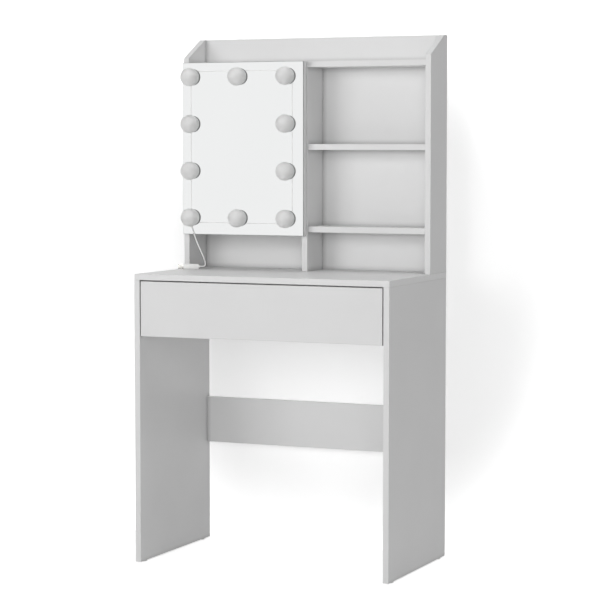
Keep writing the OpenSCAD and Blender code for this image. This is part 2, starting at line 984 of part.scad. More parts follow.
// Tube along a path, one ring of points for each point of the path
module tube(path, d, sides) {
    last = len(path) - 1;
    points = [for (i = [0 : last]) for (p = ring(path, i, d / 2, sides)) p];
    walls = [
        for (i = [0 : last - 1])
            for (k = [0 : sides - 1])
                let (n = (k + 1) % sides)
                [i * sides + k, i * sides + n, (i + 1) * sides + n, (i + 1) * sides + k]
    ];
    start_cap = [for (k = [sides - 1 : -1 : 0]) k];
    end_cap = [for (k = [0 : sides - 1]) last * sides + k];
    polyhedron(points = points, faces = concat(walls, [start_cap, end_cap]));
}

module feed_wire_on_door() {
    color(white_plastic) tube(feed_on_door, feed_d, feed_sides);
}

module feed_wire_to_plug() {
    color(white_plastic) tube(feed_to_plug, feed_d, feed_sides);
}

// The plug lies on its narrow edge on the table, in line with the wire's end.
// Local X runs back along the wire, with 0 at the face where the wire goes in.
module at_plug_end() {
    translate(plug_end) rotate([0, 0, plug_turn]) children();
}

body_end = -relief_len - plug_len;

module usb_plug_body() {
    tongue_h = shell_h - 2;
    color(white_plastic) at_plug_end() {
        translate([-relief_len, 0, 0]) rotate([0, 90, 0])
            cylinder(d1 = plug_t - 1, d2 = feed_d + 1, h = relief_len);
        block([body_end, -plug_t / 2, -plug_h / 2], [plug_len, plug_t, plug_h]);
        block([body_end - tongue_len, -tongue_t / 2, -tongue_h / 2],
            [tongue_len + eps, tongue_t, tongue_h]);
    }
}

module usb_plug_shell() {
    hole = 2.5;
    color(steel) at_plug_end() translate([body_end - shell_len, -shell_t / 2, -shell_h / 2])
        difference() {
            cube([shell_len, shell_t, shell_h]);
            block([-eps, shell_wall, shell_wall],
                [shell_len + 2 * eps, shell_t - 2 * shell_wall, shell_h - 2 * shell_wall]);
            for (z = [shell_h / 4, 3 * shell_h / 4])
                block([shell_len - 3 * hole, -eps, z - hole / 2], [hole, shell_t + 2 * eps, hole]);
        }
}

table_top();
left_side_panel();
right_side_panel();
lower_rear_rail();
upper_rear_rail();
floor_glides();
rail_cams();
rail_cam_bolts();
top_cams();
top_cam_bolts();
drawer_front();
drawer_left_side();
drawer_right_side();
drawer_back();
drawer_bottom();
drawer_cams();
drawer_cam_bolts();
left_cabinet_runner();
right_cabinet_runner();
left_middle_runner();
right_middle_runner();
left_drawer_runner();
right_drawer_runner();
cabinet_runner_screws();
drawer_runner_screws();
hutch_left_side();
hutch_right_side();
hutch_back_board();
hutch_top_shelf();
hutch_divider();
upper_shelf();
lower_shelf();
cabinet_shelf();
cabinet_floor();
hutch_screws();
shelf_cams();
shelf_cam_bolts();
door_panel();
mirror_tape();
mirror_glass();
bulb_pads();
bulb_bases();
bulb_light_boards();
bulb_globes();
bulb_wiring();
upper_hinge_frame_leaf();
upper_hinge_door_leaf();
upper_hinge_pin();
lower_hinge_frame_leaf();
lower_hinge_door_leaf();
lower_hinge_pin();
hinge_frame_screws();
hinge_door_screws();
magnet_catch();
catch_plate();
feed_wire_on_door();
feed_wire_to_plug();
usb_plug_body();
usb_plug_shell();
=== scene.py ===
"""A vanity table with a lit mirror door: the looks of each piece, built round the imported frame."""

import math

import bmesh
import bpy
from mathutils import Matrix, Vector


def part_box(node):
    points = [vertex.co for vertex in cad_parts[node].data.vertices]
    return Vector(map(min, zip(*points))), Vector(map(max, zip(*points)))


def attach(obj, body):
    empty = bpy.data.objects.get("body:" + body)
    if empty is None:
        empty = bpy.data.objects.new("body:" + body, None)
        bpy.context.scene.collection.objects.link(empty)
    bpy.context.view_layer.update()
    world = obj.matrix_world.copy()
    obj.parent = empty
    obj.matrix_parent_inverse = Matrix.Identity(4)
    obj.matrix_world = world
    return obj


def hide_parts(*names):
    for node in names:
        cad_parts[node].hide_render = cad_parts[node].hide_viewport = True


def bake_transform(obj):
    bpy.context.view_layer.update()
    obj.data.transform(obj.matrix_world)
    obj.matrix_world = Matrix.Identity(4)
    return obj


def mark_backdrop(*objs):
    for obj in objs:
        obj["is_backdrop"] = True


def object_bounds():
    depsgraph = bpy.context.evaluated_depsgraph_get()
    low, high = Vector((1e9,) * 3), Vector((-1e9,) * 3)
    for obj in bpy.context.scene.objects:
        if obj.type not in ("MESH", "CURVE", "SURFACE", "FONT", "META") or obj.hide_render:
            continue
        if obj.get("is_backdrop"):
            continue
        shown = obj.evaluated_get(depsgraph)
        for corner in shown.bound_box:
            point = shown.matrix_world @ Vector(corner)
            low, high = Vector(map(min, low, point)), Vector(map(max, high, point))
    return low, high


bl_info = {
    "name": "Vanity Table with Lit Mirror",
    "version": (1, 0, 0),
    "blender": (4, 5, 0),
    "location": "3D View > Sidebar > Vanity",
    "description": "Finishes the boards, drawer, hutch, mirror door, bulbs and fittings of a vanity table",
    "category": "Object",
}

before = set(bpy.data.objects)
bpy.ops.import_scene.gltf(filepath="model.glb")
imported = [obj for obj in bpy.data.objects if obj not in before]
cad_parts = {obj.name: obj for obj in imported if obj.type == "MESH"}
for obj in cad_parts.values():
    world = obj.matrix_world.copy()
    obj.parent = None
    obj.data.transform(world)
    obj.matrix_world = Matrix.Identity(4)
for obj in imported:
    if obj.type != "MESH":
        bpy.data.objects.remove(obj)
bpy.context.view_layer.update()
MM = 0.001

# Vertices closer together than this are one vertex
MERGE_DISTANCE = 0.002 * MM
# A point closer to a plane than this lies in it
IN_PLANE = 0.01 * MM
# Shares of a face's normal along one axis: mostly, nearly and wholly turned that way
MOSTLY, NEARLY, WHOLLY = 0.5, 0.9, 0.999

# The wire's centre line in metres: down the mirror, off the door's lower edge and along the table
WIRE_ON_DOOR = [
    (-0.3270, 0.0596, 0.891),
    (-0.3265, 0.0596, 0.886),
    (-0.3235, 0.0596, 0.878),
    (-0.3195, 0.0596, 0.868),
    (-0.3155, 0.0596, 0.858),
]
WIRE_TO_PLUG = [
    (-0.3115, 0.0596, 0.848),
    (-0.3055, 0.0605, 0.833),
    (-0.2995, 0.0625, 0.819),
    (-0.2945, 0.0650, 0.806),
    (-0.2910, 0.0680, 0.795),
    (-0.2895, 0.0700, 0.788),
    (-0.2888, 0.0715, 0.782),
    (-0.2903, 0.0718, 0.777),
    (-0.2940, 0.0702, 0.7745),
    (-0.2980, 0.0685, 0.774),
    (-0.3015, 0.0670, 0.774),
]

TABLE_BOARDS = ("table_top", "left_side_panel", "right_side_panel", "lower_rear_rail", "upper_rear_rail")
HUTCH_BOARDS = (
    "hutch_left_side", "hutch_right_side", "hutch_back_board", "hutch_top_shelf", "hutch_divider",
    "upper_shelf", "lower_shelf", "cabinet_shelf", "cabinet_floor",
)
DRAWER_BOX_BOARDS = ("drawer_left_side", "drawer_right_side", "drawer_back", "drawer_bottom")
RUNNERS = {
    "left_cabinet_runner": "desk",
    "right_cabinet_runner": "desk",
    "left_middle_runner": "left_runner_middle",
    "right_middle_runner": "right_runner_middle",
    "left_drawer_runner": "drawer",
    "right_drawer_runner": "drawer",
}
HINGE_LEAVES = {
    "upper_hinge_frame_leaf": "desk",
    "lower_hinge_frame_leaf": "desk",
    "upper_hinge_door_leaf": "mirror_door",
    "lower_hinge_door_leaf": "mirror_door",
}
ZINC_FITTINGS = (
    "rail_cams", "rail_cam_bolts", "top_cams", "top_cam_bolts", "shelf_cams", "shelf_cam_bolts",
    "drawer_cams", "drawer_cam_bolts", "hutch_screws", "cabinet_runner_screws",
    "drawer_runner_screws", "hinge_frame_screws", "hinge_door_screws",
)
HINGE_PINS = ("upper_hinge_pin", "lower_hinge_pin")


# ---- Sizes and colours that a user can change ----

def linear(code):
    """Turns an sRGB hex colour into the linear values that shaders take, by the standard's curve."""
    parts = [int(code[i:i + 2], 16) / 255 for i in (1, 3, 5)]
    return [c / 12.92 if c <= 0.04045 else ((c + 0.055) / 1.055) ** 2.4 for c in parts]


def length_property(name, description, default):
    """A length in metres that a user can change."""
    return bpy.props.FloatProperty(
        name=name, description=description, default=default, min=0.0, precision=5, unit="LENGTH"
    )


def colour_property(name, description, code):
    """A colour that a user can change, given in hex."""
    return bpy.props.FloatVectorProperty(
        name=name, description=description, default=linear(code), min=0.0, max=1.0, subtype="COLOR"
    )


class VanityBoards(bpy.types.PropertyGroup):
    """Sizes and colours of the boards"""

    arris: length_property("Arris", "Radius on the outer edges of the boards", 0.7 * MM)
    grain: length_property("Pearl grain", "Width of one grain of the pressed pearl texture", 0.5 * MM)
    face: colour_property("Face", "Melamine face of the boards", "#e6e6e6")
    # Painted light: the back board's melamine is lighter than the face, standing in for the light that the
    # recessed bays lose
    back: colour_property(
        "Back board", "Melamine face of the hutch's back board, lightened as painted light for its shaded bays", "#eeeeee"
    )
    band: colour_property("Edge band", "Plastic edge band of the boards", "#e6e6e6")
    glue: colour_property("Glue line", "Thin line where edge band and face meet", "#d3d3d2")
    core: colour_property("Core", "Raw chipboard in bores and grooves", "#b39a78")
    drawer: colour_property("Drawer box", "Thin boards of the drawer box", "#e7e7e7")


class VanityMirror(bpy.types.PropertyGroup):
    """Size and looks of the mirror glass"""

    arris: length_property("Ground edge", "Width of the ground edge of the glass", 0.8 * MM)
    silver: colour_property("Silver", "Reflected tone of the silvered glass", "#eeefef")
    edge: colour_property("Glass edge", "Ground edge of the glass", "#cfd6d3")
    back: colour_property("Backing", "Paint on the back of the glass", "#8d9294")
    blur: bpy.props.FloatProperty(
        name="Haze", description="Roughness of the silvered face", default=0.03, min=0.0, max=1.0
    )


class VanityBulbs(bpy.types.PropertyGroup):
    """Size and colours of the bulbs and their wires"""

    globe: colour_property("Globe", "Opal globe, unlit", "#f3f3f2")
    collar: colour_property("Collar", "Moulded base of a bulb", "#e0e0df")
    # Painted shade: the ring's dark grey stands for the shade on the lower side wall of each base, next to
    # the mirror
    ring: colour_property("Ring", "Grey ring round the base of a bulb", "#606163")
    wire: colour_property("Wire", "Jacket of the wires", "#fbfbfa")
    rim: length_property("Rim", "Radius on the rims of a bulb base", 0.6 * MM)


class VanityFittings(bpy.types.PropertyGroup):
    """Size and colours of the metal fittings"""

    zinc: colour_property("Zinc", "Zinc-plated fittings", "#b9bcbf")
    strip: colour_property("Runner steel", "Rolled steel of the drawer runners", "#bfc1c4")
    nickel: colour_property("Nickel", "Nickel-plated hinges and catch plate", "#cbcac6")
    edge: length_property("Edge", "Radius on the edges of stamped steel", 0.15 * MM)


class VanityStage(bpy.types.PropertyGroup):
    """Camera and floor"""

    camera_place: bpy.props.FloatVectorProperty(
        name="Camera place", description="Where the camera stands",
        default=(2.32197, -5.17341, 1.10659), precision=5, subtype="TRANSLATION", unit="LENGTH",
    )
    camera_turn: bpy.props.FloatProperty(
        name="Camera turn", description="Turn of the camera to the left of straight back",
        default=math.radians(23.94), subtype="ANGLE", unit="ROTATION",
    )
    camera_tilt: bpy.props.FloatProperty(
        name="Camera tilt", description="Tilt of the camera above the horizon",
        default=math.radians(-4.15), subtype="ANGLE", unit="ROTATION",
    )
    camera_lens: bpy.props.FloatProperty(
        name="Lens", description="Focal length in millimetres on a 36 mm sensor",
        default=128.87, unit="CAMERA",
    )
    floor_tone: colour_property("Floor", "Plain floor and wall", "#f0f0f0")


PROPERTY_GROUPS = {
    "vanity_boards": VanityBoards,
    "vanity_mirror": VanityMirror,
    "vanity_bulbs": VanityBulbs,
    "vanity_fittings": VanityFittings,
    "vanity_stage": VanityStage,
}


# ---- Materials ----

def add_node(tree, kind, settings=None, sockets=None):
    """Adds one node with its settings, and sets or links its input sockets."""
    new = tree.nodes.new(kind)
    for name, value in (settings or {}).items():
        setattr(new, name, value)
    set_sockets(tree, new, sockets or {})
    return new


def set_sockets(tree, node, sockets):
    """Links a node's input sockets to other nodes' outputs, or gives them their values."""
    for name, value in sockets.items():
        if isinstance(value, bpy.types.NodeSocket):
            tree.links.new(value, node.inputs[name])
        else:
            node.inputs[name].default_value = value


def start_material(name):
    """An empty node material with its object coordinates, its shader and its tree."""
    found = bpy.data.materials.new(name)
    found.use_nodes = True
    tree = found.node_tree
    tree.nodes.clear()
    place = add_node(tree, "ShaderNodeTexCoord").outputs["Object"]
    shader = add_node(tree, "ShaderNodeBsdfPrincipled")
    out = add_node(tree, "ShaderNodeOutputMaterial", None, {"Surface": shader.outputs["BSDF"]})
    out.is_active_output = True
    return found, tree, place, shader


def rgba(colour):
    """The colour with full opacity."""
    return (colour[0], colour[1], colour[2], 1.0)


def shade(colour, factor):
    """The colour made lighter or darker by a factor."""
    return tuple(min(1.0, c * factor) for c in colour[:3]) + (1.0,)


def varied_colour(tree, place, colour, cell, spread):
    """The colour with soft patches about one cell wide that are lighter and darker by the spread."""
    patches = add_node(tree, "ShaderNodeTexNoise", None,
                       {"Vector": place, "Scale": 1 / cell, "Detail": 3.0, "Roughness": 0.5})
    ramp = add_node(tree, "ShaderNodeValToRGB", None, {"Fac": patches.outputs["Fac"]})
    darker, lighter = ramp.color_ramp.elements
    darker.position = 0.3
    darker.color = shade(colour, 1 - spread)
    lighter.position = 0.7
    lighter.color = shade(colour, 1 + spread)
    return ramp.outputs["Color"]


# Painted shade in corners: how far from a corner the tone deepens, and what share of the colour is left in
# it
PAINTED_SHADE_REACH = 14 * MM
PAINTED_SHADE_DEPTH = 0.45
# The sockets of a Mix node that mixes colours
MIX_FACTOR, MIX_FIRST, MIX_SECOND, MIX_RESULT = 0, 6, 7, 2


def painted_corner_shade(tree, tint):
    """The tint with painted shade: darker close to where boards meet, by ambient occlusion, where shade
    falls.
    """
    corner = add_node(tree, "ShaderNodeAmbientOcclusion", {"samples": 8}, {"Distance": PAINTED_SHADE_REACH})
    shaded_tint = add_node(tree, "ShaderNodeMix", {"data_type": "RGBA", "blend_type": "MULTIPLY"},
                    {MIX_FACTOR: 1.0, MIX_FIRST: tint, MIX_SECOND: rgba([PAINTED_SHADE_DEPTH] * 3)})
    blend = add_node(tree, "ShaderNodeMix", {"data_type": "RGBA"},
                     {MIX_FACTOR: corner.outputs["AO"], MIX_FIRST: shaded_tint.outputs[MIX_RESULT],
                      MIX_SECOND: tint})
    return blend.outputs[MIX_RESULT]


def melamine(name, colour, grain):
    """Melamine-faced chipboard, hot-pressed with a pearl texture: white, satin, a soft broad sheen."""
    found, tree, place, shader = start_material(name)
    pearls = add_node(tree, "ShaderNodeTexVoronoi", {"feature": "SMOOTH_F1"},
                      {"Vector": place, "Scale": 1 / grain, "Smoothness": 0.8})
    clouds_per_metre = 14.0
    cloud = add_node(tree, "ShaderNodeTexNoise", None,
                     {"Vector": place, "Scale": clouds_per_metre, "Detail": 4.0})
    plain = varied_colour(tree, place, colour, cell=180 * MM, spread=0.012)
    # Painted shade: the plain colour darkens near corners and joints
    tint = painted_corner_shade(tree, plain)
    sheen = add_node(tree, "ShaderNodeMapRange", None,
                     {"Value": cloud.outputs["Fac"], "To Min": 0.40, "To Max": 0.50})
    bump = add_node(tree, "ShaderNodeBump", None,
                    {"Height": pearls.outputs["Distance"], "Strength": 0.18, "Distance": 0.04 * MM})
    set_sockets(tree, shader, {
        "Base Color": tint, "Roughness": sheen.outputs["Result"], "IOR": 1.5,
        "Normal": bump.outputs["Normal"],
    })
    return found


def grained(name, colour, roughness, cell, spread, grain, strength, depth, detail=2.0, harshness=0.5):
    """A surface in one colour, with soft patches of tone as wide as a cell and a fine grain."""
    found, tree, place, shader = start_material(name)
    noise = add_node(tree, "ShaderNodeTexNoise", None,
                     {"Vector": place, "Scale": 1 / grain, "Detail": detail, "Roughness": harshness})
    tint = varied_colour(tree, place, colour, cell, spread)
    bump = add_node(tree, "ShaderNodeBump", None,
                    {"Height": noise.outputs["Fac"], "Strength": strength, "Distance": depth})
    set_sockets(tree, shader, {
        "Base Color": tint, "Roughness": roughness, "Normal": bump.outputs["Normal"],
    })
    return found


def edge_band(colour):
    """ABS edge band, extruded and scraped: the board's white, a little smoother, long faint ripples."""
    return grained("ABS edge band", colour, 0.36, cell=90 * MM, spread=0.008,
                   grain=3 * MM, strength=0.08, depth=0.05 * MM)


def glue_line(colour):
    """Hot-melt glue in the seam between edge band and face: a thin line, slightly darker and duller."""
    found, tree, place, shader = start_material("Hot-melt glue line")
    tint = varied_colour(tree, place, colour, cell=6 * MM, spread=0.05)
    set_sockets(tree, shader, {"Base Color": tint, "Roughness": 0.6})
    return found


def chipboard_core(colour):
    """Raw chipboard cut by a drill or saw: brown chips of a few millimetres, dull and rough."""
    found, tree, place, shader = start_material("Raw chipboard")
    chips = add_node(tree, "ShaderNodeTexVoronoi", None, {"Vector": place, "Scale": 1 / (1.8 * MM)})
    tones = add_node(tree, "ShaderNodeValToRGB", None, {"Fac": chips.outputs["Distance"]})
    tones.color_ramp.elements[0].color = shade(colour, 1.15)
    tones.color_ramp.elements[1].color = shade(colour, 0.6)
    bump = add_node(tree, "ShaderNodeBump", None,
                    {"Height": chips.outputs["Distance"], "Strength": 0.6, "Distance": 0.3 * MM})
    set_sockets(tree, shader, {
        "Base Color": tones.outputs["Color"], "Roughness": 0.85, "Normal": bump.outputs["Normal"],
    })
    return found


def silvered_face(colour, haze):
    """Float glass with silver behind it: a clear reflection, with the faint wave of the glass."""
    found, tree, place, shader = start_material("Silvered float glass")
    wave = add_node(tree, "ShaderNodeTexNoise", None,
                    {"Vector": place, "Scale": 1 / (200 * MM), "Detail": 1.0})
    tint = varied_colour(tree, place, colour, cell=250 * MM, spread=0.004)
    bump = add_node(tree, "ShaderNodeBump", None,
                    {"Height": wave.outputs["Fac"], "Strength": 0.05, "Distance": 0.02 * MM})
    set_sockets(tree, shader, {
        "Base Color": tint, "Metallic": 1.0, "Roughness": haze, "Normal": bump.outputs["Normal"],
    })
    return found


def ground_glass_edge(colour):
    """The ground edge of float glass: pale grey-green, finely scratched and satin."""
    return grained("Ground glass edge", colour, 0.35, cell=30 * MM, spread=0.03,
                   grain=0.4 * MM, strength=0.2, depth=0.03 * MM, detail=3.0)


def backing_paint(colour):
    """Protective paint on the back of a mirror: flat grey with a light orange peel."""
    return grained("Mirror backing paint", colour, 0.6, cell=40 * MM, spread=0.03,
                   grain=1.5 * MM, strength=0.25, depth=0.05 * MM)


def opal_acrylic(colour):
    """Opal acrylic, blown and satin: light sinks in a little, and highlights are broad and soft."""
    found, tree, place, shader = start_material("Opal acrylic")
    clouds_per_metre = 60.0
    cloud = add_node(tree, "ShaderNodeTexNoise", None,
                     {"Vector": place, "Scale": clouds_per_metre, "Detail": 2.0})
    tint = varied_colour(tree, place, colour, cell=12 * MM, spread=0.012)
    satin = add_node(tree, "ShaderNodeMapRange", None,
                     {"Value": cloud.outputs["Fac"], "To Min": 0.34, "To Max": 0.40})
    set_sockets(tree, shader, {
        "Base Color": tint, "Roughness": satin.outputs["Result"], "IOR": 1.49, "Subsurface Weight": 1.0,
        "Subsurface Radius": (1.0, 1.0, 1.0), "Subsurface Scale": 3 * MM,
    })
    return found


def moulded_plastic(name, colour, roughness):
    """ABS or polythene from a spark-eroded mould: even colour, fine dull grain, soft highlights."""
    return grained(name, colour, roughness, cell=15 * MM, spread=0.015,
                   grain=0.25 * MM, strength=0.15, depth=0.03 * MM, harshness=0.6)


# Draws the streaks of rolled steel out along Y
ROLLED_ALONG_Y = (1.0, 0.02, 1.0)


def plated_steel(name, colour, roughness, stretch=(1.0, 1.0, 1.0)):
    """Steel under a thin plating: grey metal, with the streaks of rolling where it is drawn out."""
    found, tree, place, shader = start_material(name)
    drawn = add_node(tree, "ShaderNodeMapping", None, {"Vector": place, "Scale": stretch})
    streaks = add_node(tree, "ShaderNodeTexNoise", None,
                       {"Vector": drawn.outputs["Vector"], "Scale": 1 / (0.6 * MM), "Detail": 3.0})
    tint = varied_colour(tree, place, colour, cell=8 * MM, spread=0.06)
    unevenness = 0.08
    dull = add_node(tree, "ShaderNodeMapRange", None, {
        "Value": streaks.outputs["Fac"],
        "To Min": roughness - unevenness, "To Max": roughness + unevenness,
    })
    bump = add_node(tree, "ShaderNodeBump", None,
                    {"Height": streaks.outputs["Fac"], "Strength": 0.12, "Distance": 0.02 * MM})
    set_sockets(tree, shader, {
        "Base Color": tint, "Metallic": 1.0, "Roughness": dull.outputs["Result"],
        "Normal": bump.outputs["Normal"],
    })
    return found


def foam(colour):
    """Closed-cell foam tape: matt, pale grey, with pores about half a millimetre wide."""
    found, tree, place, shader = start_material("Closed-cell foam")
    pores = add_node(tree, "ShaderNodeTexVoronoi", None, {"Vector": place, "Scale": 1 / (0.5 * MM)})
    tint = varied_colour(tree, place, colour, cell=10 * MM, spread=0.03)
    bump = add_node(tree, "ShaderNodeBump", None,
                    {"Height": pores.outputs["Distance"], "Strength": 0.5, "Distance": 0.15 * MM})
    set_sockets(tree, shader, {"Base Color": tint, "Roughness": 0.95, "Normal": bump.outputs["Normal"]})
    return found


# Where each of a board's materials stands in its list
FACE, BAND, GLUE, CORE = range(4)


def board_materials():
    """The materials of a board, in the order of their slots."""
    look = bpy.context.scene.vanity_boards
    return [
        melamine("Melamine-faced chipboard", look.face, look.grain),
        edge_band(look.band),
        glue_line(look.glue),
        chipboard_core(look.core),
    ]


def shared(maker, *values):
    """Makes a material once and hands the same one to every later piece."""
    key = (maker.__name__,) + tuple(str(v) for v in values)
    if key not in shared.made:
        shared.made[key] = maker(*values)
    return shared.made[key]


shared.made = {}


# ---- Shapes ----

def merged_copy(node):
    """A node's mesh with its loose triangles joined into whole flat faces."""
    bm = bmesh.new()
    bm.from_mesh(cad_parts[node].data)
    bmesh.ops.remove_doubles(bm, verts=bm.verts, dist=MERGE_DISTANCE)
    flat_enough = math.radians(0.5)
    bmesh.ops.dissolve_limit(bm, angle_limit=flat_enough, verts=bm.verts, edges=bm.edges)
    return bm


def mesh_box(bm):
    """The lowest and the highest corner of a bmesh."""
    places = [v.co for v in bm.verts]
    low = Vector([min(p[i] for p in places) for i in range(3)])
    high = Vector([max(p[i] for p in places) for i in range(3)])
    return low, high


def outer_sides(point, low, high):
    """The axes on which a point lies in one of the box's outer planes."""
    return [i for i in range(3) if min(abs(point[i] - low[i]), abs(point[i] - high[i])) < IN_PLANE]


def round_edges(bm, edges, radius, segments):
    """Bevels the edges to a round profile, and returns the new faces."""
    made = bmesh.ops.bevel(
        bm, geom=edges, offset=radius, offset_type="OFFSET", affect="EDGES",
        segments=segments, profile=0.5, material=-1, clamp_overlap=False,
    )
    return made["faces"]


# Edges that turn by less than this are left as they are
SHARP_EDGE = math.radians(30)
# Slanted faces are shaded round up to this area, and as strips up to so many bevel widths wide
SMALL_FACE = 60 * MM ** 2
STRIP_WIDTHS = 3


def soften(bm, width, segments=2, long_edge=8 * MM):
    """Rounds the outer corners and every long sharp edge, and returns the new faces.

    Large flat faces keep flat shading, so that no false shade runs across a board.
    """
    low, high = mesh_box(bm)
    edges = []
    for edge in bm.edges:
        if not edge.is_manifold or not edge.is_convex or edge.calc_face_angle() < SHARP_EDGE:
            continue
        middle = (edge.verts[0].co + edge.verts[1].co) / 2
        if edge.calc_length() > long_edge or len(outer_sides(middle, low, high)) > 1:
            edges.append(edge)
    made = round_edges(bm, edges, width, segments)
    for face in bm.faces:
        narrow = STRIP_WIDTHS * width * max(edge.calc_length() for edge in face.edges)
        slanted = max(abs(c) for c in face.normal) < WHOLLY
        face.smooth = slanted and face.calc_area() < max(SMALL_FACE, narrow)
    return made


# Edges sharper than this, in degrees, always show as edges
CREASE = 50


def finish_piece(name, bm, materials, body, nodes=(), smooth=None):
    """Turns a bmesh into a piece that rides on a body and stands for its CAD nodes.

    With an angle in degrees for smooth, every face is shaded round, up to edges sharper than that.
    """
    mesh = bpy.data.meshes.new(name)
    rounded = [bool(smooth) or face.smooth for face in bm.faces]
    bm.to_mesh(mesh)
    bm.free()
    mesh.set_sharp_from_angle(angle=math.radians(smooth or CREASE))
    mesh.polygons.foreach_set("use_smooth", rounded)
    for material in materials:
        mesh.materials.append(material)
    piece = bpy.data.objects.new(name, mesh)
    bpy.context.collection.objects.link(piece)
    if body:
        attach(piece, body)
    if nodes:
        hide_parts(*nodes)
    return piece


# The largest arris as a share of a board's thickness
LARGEST_ARRIS = 0.25
# A narrow side spans the board's thickness, less at most so many arrises
ARRISES_LESS = 3


def make_board(node, body, materials):
    """A board with rounded arrises, edge bands on its narrow sides and raw chipboard in its bores."""
    bm = merged_copy(node)
    low, high = mesh_box(bm)
    size = high - low
    across = min(range(3), key=lambda i: size[i])
    arris = bpy.context.scene.vanity_boards.arris
    rounded = set(soften(bm, min(arris, size[across] * LARGEST_ARRIS), segments=3))
    for face in bm.faces:
        middle = face.calc_center_median()
        flat = abs(face.normal[across]) > MOSTLY
        sides = outer_sides(middle, low, high)
        if face in rounded:
            face.material_index = GLUE if abs(face.normal[across]) > NEARLY else BAND
        elif flat:
            face.material_index = FACE if across in sides else CORE
        else:
            spans = max(v.co[across] for v in face.verts) - min(v.co[across] for v in face.verts)
            whole = spans > size[across] - ARRISES_LESS * arris
            outside = any(i != across for i in sides)
            face.material_index = BAND if whole or outside else CORE
    return finish_piece(node + "_board", bm, materials, body, [node])


def lathe(bm, outline, matrix, steps=48):
    """Spins an outline of (radius, height) points round the local Z axis, turned by the matrix."""
    ring = [bm.verts.new((r, 0, h)) for r, h in outline]
    edges = [bm.edges.new(pair) for pair in zip(ring, ring[1:])]
    bmesh.ops.spin(
        bm, geom=ring + edges, cent=(0, 0, 0), axis=(0, 0, 1), angle=math.tau, steps=steps,
        use_merge=True, use_duplicate=False,
    )
    bmesh.ops.remove_doubles(bm, verts=bm.verts, dist=MERGE_DISTANCE)
    bmesh.ops.recalc_face_normals(bm, faces=bm.faces)
    bmesh.ops.transform(bm, matrix=matrix, verts=bm.verts)


def arc(centre, radius, start, end, count):
    """Points on an arc in (radius, height), from one angle to another in degrees."""
    steps = [start + (end - start) * i / count for i in range(count + 1)]
    return [
        (centre[0] + radius * math.cos(math.radians(a)), centre[1] + radius * math.sin(math.radians(a)))
        for a in steps
    ]


def add_block(bm, low, high, radius=0.0, segments=2):
    """Adds a box between two corners to the mesh, with rounded edges if a radius is given."""
    made = bmesh.ops.create_cube(bm, size=1.0)
    low, high = Vector(low), Vector(high)
    bmesh.ops.scale(bm, vec=high - low, verts=made["verts"])
    bmesh.ops.translate(bm, vec=(low + high) / 2, verts=made["verts"])
    if radius:
        edges = list(dict.fromkeys(edge for vert in made["verts"] for edge in vert.link_edges))
        round_edges(bm, edges, radius, segments)


def join_into(target, source):
    """Adds the faces of one bmesh to another, through a mesh that is then thrown away."""
    carrier = bpy.data.meshes.new("carrier")
    source.to_mesh(carrier)
    source.free()
    target.from_mesh(carrier)
    bpy.data.meshes.remove(carrier)


def dress_node(node, material):
    """Gives a CAD node that stays in view its material."""
    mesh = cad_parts[node].data
    mesh.materials.clear()
    mesh.materials.append(material)


# ---- Pieces ----

class VANITY_OT_feed_wire(bpy.types.Operator):
    """Make the wire from the lowest bulb to the plug, with the plug on its end"""

    bl_idname = "vanity.feed_wire"
    bl_label = "Feed Wire and Plug"

    def execute(self, context):
        look = context.scene.vanity_bulbs
        jacket = shared(moulded_plastic, "PVC jacket", look.wire, 0.42)
        route = smooth_route(WIRE_ON_DOOR + WIRE_TO_PLUG, steps=2)
        diameter = 3.2 * MM
        wire = tube("feed_wire", route, diameter, jacket)
        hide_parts("feed_wire_on_door", "feed_wire_to_plug")
        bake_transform(wire)
        plug = make_plug(jacket)
        return {"FINISHED"}


def smooth_route(points, steps):
    """The points with others between them, on a curve that passes through every one of them."""
    points = [Vector(p) for p in points]
    padded = [2 * points[0] - points[1]] + points + [2 * points[-1] - points[-2]]
    route = []
    for before, a, b, after in zip(padded, padded[1:], padded[2:], padded[3:]):
        for step in range(steps):
            t = step / steps
            route.append(
                a + 0.5 * t * (b - before)
                + 0.5 * t * t * (2 * before - 5 * a + 4 * b - after)
                + 0.5 * t ** 3 * (3 * a - 3 * b + after - before)
            )
    return route + [points[-1]]


def tube(name, route, diameter, material):
    """A round tube along a route, as a mesh with closed ends."""
    line = bpy.data.curves.new(name, "CURVE")
    line.dimensions = "3D"
    line.bevel_depth = diameter / 2
    line.bevel_resolution = 3
    line.use_fill_caps = True
    spline = line.splines.new("POLY")
    spline.points.add(len(route) - 1)
    for point, place in zip(spline.points, route):
        point.co = (*place, 1.0)
    holder = bpy.data.objects.new(name + "_line", line)
    bpy.context.collection.objects.link(holder)
    mesh = bpy.data.meshes.new_from_object(holder)
    bpy.data.objects.remove(holder)
    bpy.data.curves.remove(line)
    bm = bmesh.new()
    bm.from_mesh(mesh)
    bpy.data.meshes.remove(mesh)
    bmesh.ops.remove_doubles(bm, verts=bm.verts, dist=MERGE_DISTANCE)
    bmesh.ops.recalc_face_normals(bm, faces=bm.faces)
    return finish_piece(name, bm, [material], None, smooth=CREASE)


# The plug before it is turned into place: along X, from the wire's end at 0 to the tongue's at the left
RELIEF_LENGTH = 5 * MM
BODY_LENGTH, BODY_WIDTH, BODY_HEIGHT = 42 * MM, 8 * MM, 14 * MM
TONGUE_LENGTH, TONGUE_WIDTH, TONGUE_HEIGHT = 12 * MM, 1.8 * MM, 10 * MM
BODY_START = -RELIEF_LENGTH
BODY_END = BODY_START - BODY_LENGTH


